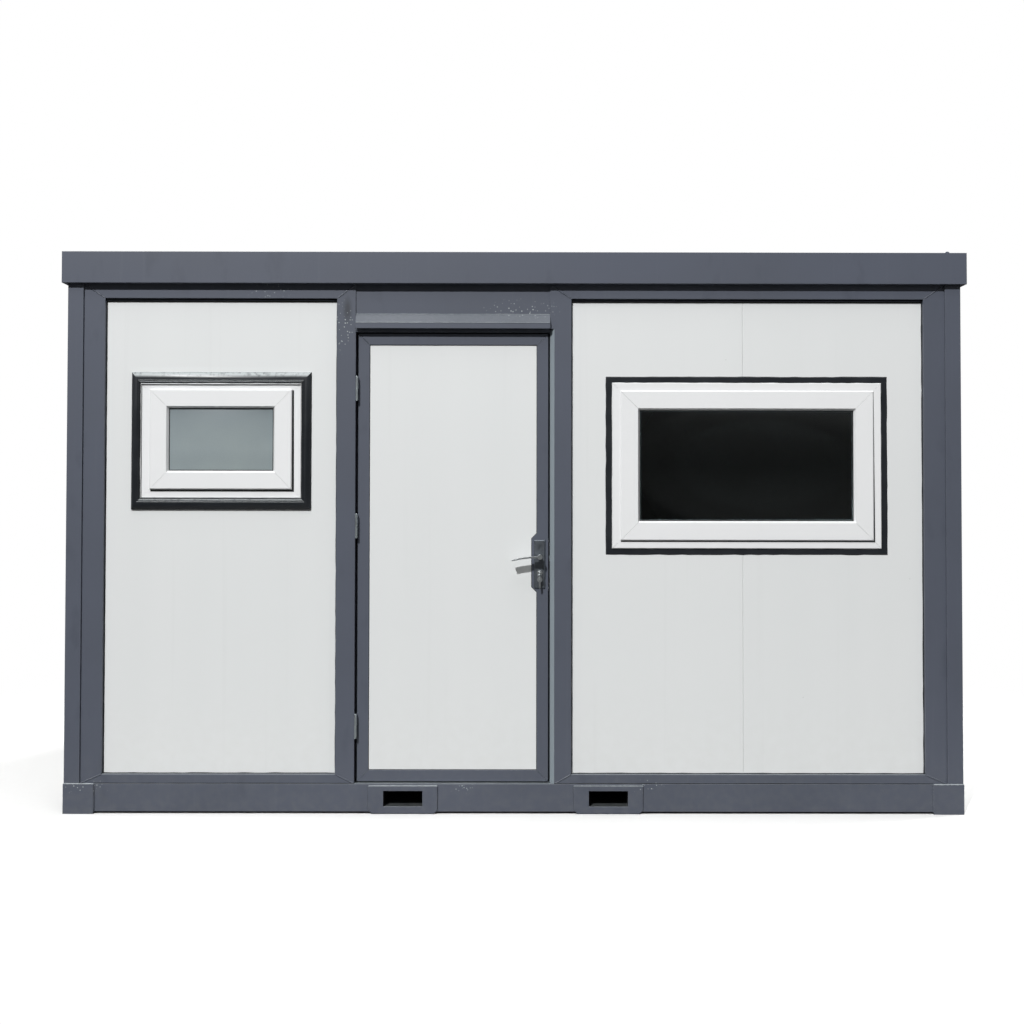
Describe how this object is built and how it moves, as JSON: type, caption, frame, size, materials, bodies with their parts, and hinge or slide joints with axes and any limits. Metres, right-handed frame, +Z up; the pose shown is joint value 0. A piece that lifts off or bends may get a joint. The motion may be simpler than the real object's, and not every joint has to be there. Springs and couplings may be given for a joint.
{
  "type": "portable office cabin",
  "caption": "Flat-pack site cabin: grey steel frame, white sandwich wall panels, outward hinged door under a drip cap, one frosted and one clear window, fork pockets.",
  "frame": {"origin": "middle of the footprint, on the ground under the corner blocks", "axes": "+X along the front to the right, the front faces -Y, +Z up"},
  "size_m": [4.038, 2.446, 2.51],
  "materials": {
    "frame_paint": "satin anthracite paint",
    "drip_paint": "satin anthracite paint, sheet",
    "tunnel_steel": "primed steel",
    "joist_steel": "primed steel",
    "panel_steel": "white coil-coated sandwich panel",
    "floor_board": "raw board",
    "floor_vinyl": "grey sheet vinyl",
    "galvanised": "galvanised sheet",
    "upvc": "white moulded profile",
    "dark_trim": "dark trim",
    "frosted_glass": "frosted unit",
    "clear_glass": "clear unit",
    "hinge_steel": "zinc plated",
    "handle_metal": "satin grey metal",
    "bright_metal": "bright lever, keys and lock",
    "rubber_seal": "black seals round the doorway and the glass"
  },
  "bodies": {
    "cabin": {"corner_blocks": "frame_paint", "long_base_rails": "frame_paint", "side_base_rails": "frame_paint", "fork_tubes": "tunnel_steel", "fork_plates": "frame_paint", "floor_joists": "joist_steel", "floor_deck": "floor_board", "floor_covering": "floor_vinyl", "corner_posts": "frame_paint", "roof_frame": "frame_paint", "long_fascias": "frame_paint", "side_fascias": "frame_paint", "roof_sheet": "galvanised", "ceiling_panel": "panel_steel", "roof_lug": "frame_paint", "front_panel_left": "panel_steel", "front_panels_right": "panel_steel", "side_panels": "panel_steel", "back_panels": "panel_steel", "door_transom": "frame_paint", "hinge_jamb": "frame_paint", "lock_jamb": "drip_paint", "door_stop": "frame_paint", "threshold": "galvanised", "drip_cap": "drip_paint", "upright_trims": "frame_paint", "level_trims": "frame_paint", "frame_hinges": "hinge_steel", "small_frame": "upvc", "small_sash": "upvc", "small_glass": "frosted_glass", "small_trim": "dark_trim", "large_frame": "upvc", "large_sash": "upvc", "large_glass": "clear_glass", "large_trim": "dark_trim", "inner_window_trims": "upvc", "window_handles": "upvc"},
    "door": {"leaf_frame": "frame_paint", "leaf_infill": "panel_steel", "leaf_hinges": "hinge_steel", "handle_plates": "handle_metal", "lock_cylinder": "bright_metal", "door_keys": "bright_metal"},
    "lever": {"outer_lever": "bright_metal", "inner_lever": "bright_metal"}
  },
  "joints": [
    {"name": "door_hinge", "type": "hinge", "parent": "cabin", "child": "door", "pos_m": [-0.7055, -1.19, 0], "axis": [0, 0, -1], "range_deg": [0, 110]},
    {"name": "lever_turn", "type": "hinge", "parent": "door", "child": "lever", "pos_m": [0.114, -1.168, 1.14], "axis": [0, -1, 0], "range_deg": [0, 45], "stiffness_Nm_per_rad": 1.2}
  ]
}
